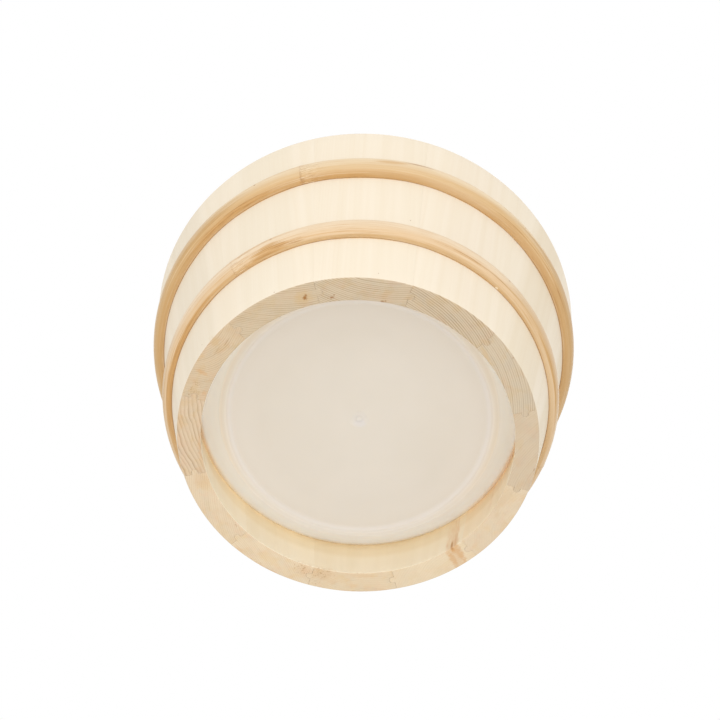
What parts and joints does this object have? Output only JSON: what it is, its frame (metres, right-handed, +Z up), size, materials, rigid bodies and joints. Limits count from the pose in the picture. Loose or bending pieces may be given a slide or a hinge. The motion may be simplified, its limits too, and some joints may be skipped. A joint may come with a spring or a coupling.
{
  "type": "wooden bucket",
  "caption": "Low tapered stave bucket of pale softwood, bound by two bent bamboo hoops, with a recessed foot and a lift-out milky plastic liner.",
  "frame": {"origin": "centre of the foot, on the plane the bucket stands on", "axes": "+Z up along the bucket's axis from the foot to the rim, -Y through the middle of the first stave"},
  "size_m": [0.3004, 0.3004, 0.1641],
  "materials": {
    "spruce": "unfinished pale softwood, turned smooth, satin",
    "bamboo": "clear satin lacquer over split bamboo",
    "milky_plastic": "translucent milky moulded plastic, fine satin"
  },
  "bodies": {
    "shell": {"stave_01": "spruce", "stave_02": "spruce", "stave_03": "spruce", "stave_04": "spruce", "stave_05": "spruce", "stave_06": "spruce", "stave_07": "spruce", "stave_08": "spruce", "stave_09": "spruce", "stave_10": "spruce", "stave_11": "spruce", "stave_12": "spruce", "lower_hoop": "bamboo", "upper_hoop": "bamboo"},
    "liner": {"liner": "milky_plastic"}
  },
  "joints": [
    {"name": "liner_lift", "type": "slide", "parent": "shell", "child": "liner", "axis": [0, 0, 1], "range_m": [0, 0.15]}
  ]
}
